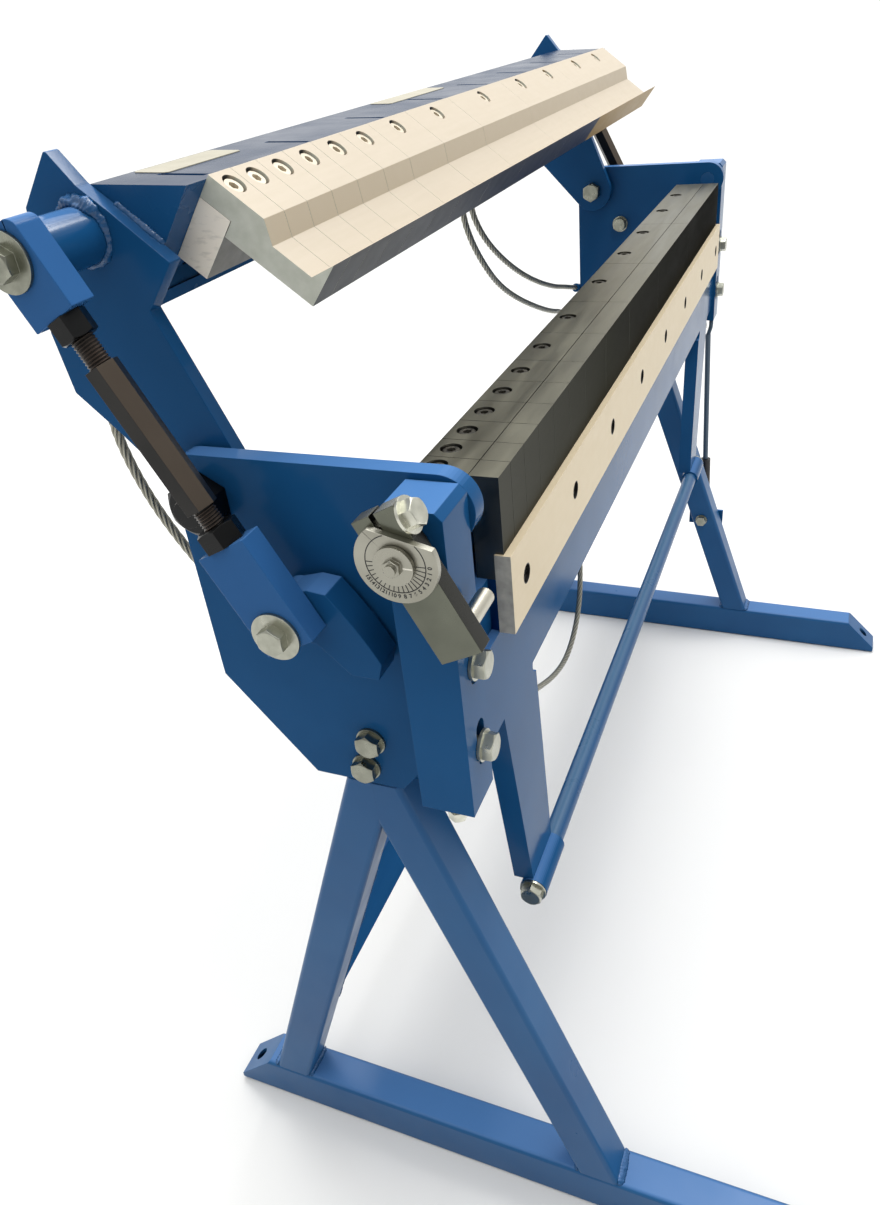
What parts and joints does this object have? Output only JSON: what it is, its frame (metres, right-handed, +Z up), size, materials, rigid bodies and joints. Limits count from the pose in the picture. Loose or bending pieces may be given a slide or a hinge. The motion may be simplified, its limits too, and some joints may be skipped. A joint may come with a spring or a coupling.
{
  "type": "sheet metal folder",
  "caption": "Hand-operated sheet metal folder: segmented swing-up clamping beam with turnbuckle toggles, hinged folding apron with handle bar, angle stop and A-frame stand.",
  "frame": {"origin": "floor point midway between the four anchor holes, under the middle of the bend line", "axes": "+X along the bend line to the right, +Y to the rear, +Z up"},
  "size_m": [1.2556, 0.69, 1.0249],
  "materials": {
    "blue_paint": "gloss machine enamel",
    "ground_tool_steel": "pale ground and coated",
    "carrier_steel": "milled",
    "dark_tool_steel": "ground, dark hardened",
    "zinc": "bright zinc plate",
    "bright_steel": "ground",
    "black_oxide": "black oxide",
    "wire_rope": "twisted galvanised wire"
  },
  "bodies": {
    "frame": {"foot_left": "blue_paint", "foot_right": "blue_paint", "front_leg_left": "blue_paint", "front_leg_right": "blue_paint", "rear_leg_left": "blue_paint", "rear_leg_right": "blue_paint", "stand_heads": "blue_paint", "rear_tie": "blue_paint", "side_plate_left": "blue_paint", "side_plate_right": "blue_paint", "plate_bolts": "zinc", "pivot_nuts": "black_oxide", "axis_pins": "bright_steel", "bed_beam": "blue_paint", "bed_blades": "dark_tool_steel", "bed_screws": "black_oxide", "stay_rod": "black_oxide", "stay_bracket": "blue_paint", "rope_long": "wire_rope", "rope_short": "wire_rope"},
    "clamping_beam": {"beam_box": "blue_paint", "beam_arm_left": "blue_paint", "beam_arm_right": "blue_paint", "carrier_bar": "carrier_steel", "finger_01": "ground_tool_steel", "finger_02": "ground_tool_steel", "finger_03": "ground_tool_steel", "finger_04": "ground_tool_steel", "finger_05": "ground_tool_steel", "finger_06": "ground_tool_steel", "finger_07": "ground_tool_steel", "finger_08": "ground_tool_steel", "finger_09": "ground_tool_steel", "finger_10": "ground_tool_steel", "finger_11": "ground_tool_steel", "finger_screws": "zinc", "upper_pin_bolts": "zinc"},
    "toggle_shaft": {"crank_shaft": "blue_paint"},
    "left_link": {"link_eyes_left": "blue_paint", "link_rods_left": "black_oxide", "lower_pin_bolt_left": "zinc"},
    "right_link": {"link_eyes_right": "blue_paint", "link_rods_right": "black_oxide", "lower_pin_bolt_right": "zinc"},
    "left_turnbuckle": {"turnbuckle_left": "black_oxide"},
    "right_turnbuckle": {"turnbuckle_right": "black_oxide"},
    "hinge_brackets": {"hinge_bracket_left": "blue_paint", "hinge_bracket_right": "blue_paint", "jack_screws": "zinc"},
    "folding_beam": {"apron_beam": "blue_paint", "apron_blades": "dark_tool_steel", "clamp_strip": "ground_tool_steel", "strip_screws": "black_oxide", "handle_arm_left": "blue_paint", "handle_arm_right": "blue_paint", "handle_tube": "blue_paint", "apron_bolts": "zinc"},
    "angle_stop": {"stop_bar": "bright_steel", "stop_dial": "bright_steel", "stop_bolt": "zinc"}
  },
  "joints": [
    {"name": "clamp_swing", "type": "hinge", "parent": "frame", "child": "clamping_beam", "pos_m": [0, 0.175, 0.806], "axis": [1, 0, 0], "range_deg": [0, 52]},
    {"name": "toggle_turn", "type": "hinge", "parent": "frame", "child": "toggle_shaft", "pos_m": [0, 0.066, 0.721], "axis": [1, 0, 0], "range_deg": [-82.7, 0]},
    {"name": "left_link_swing", "type": "hinge", "parent": "clamping_beam", "child": "left_link", "pos_m": [-0.599, 0.23, 0.9765], "axis": [1, 0, 0], "range_deg": [-22.25, 0]},
    {"name": "right_link_swing", "type": "hinge", "parent": "clamping_beam", "child": "right_link", "pos_m": [0.599, 0.23, 0.9765], "axis": [1, 0, 0], "range_deg": [-22.25, 0]},
    {"name": "left_turnbuckle_spin", "type": "hinge", "parent": "left_link", "child": "left_turnbuckle", "pos_m": [-0.599, 0.17086, 0.86769], "axis": [0, 0.4597, 0.8881], "continuous": true},
    {"name": "right_turnbuckle_spin", "type": "hinge", "parent": "right_link", "child": "right_turnbuckle", "pos_m": [0.599, 0.17086, 0.86769], "axis": [0, 0.4597, 0.8881], "continuous": true},
    {"name": "apron_swing", "type": "hinge", "parent": "frame", "child": "hinge_brackets", "pos_m": [0, 0, 0.815], "axis": [-1, 0, 0], "range_deg": [0, 135]},
    {"name": "apron_height", "type": "slide", "parent": "hinge_brackets", "child": "folding_beam", "axis": [0, 0, 1], "range_m": [-0.009, 0]},
    {"name": "stop_setting", "type": "hinge", "parent": "frame", "child": "angle_stop", "pos_m": [-0.615, 0, 0.815], "axis": [-1, 0, 0], "range_deg": [0, 135]}
  ],
  "couplings": [
    {"joint": "toggle_turn", "follows": "clamp_swing", "ratio": -1.5898},
    {"joint": "left_link_swing", "follows": "clamp_swing", "ratio": -0.42731},
    {"joint": "right_link_swing", "follows": "clamp_swing", "ratio": -0.42731},
    {"joint": "stop_setting", "follows": "apron_swing", "ratio": 1}
  ]
}
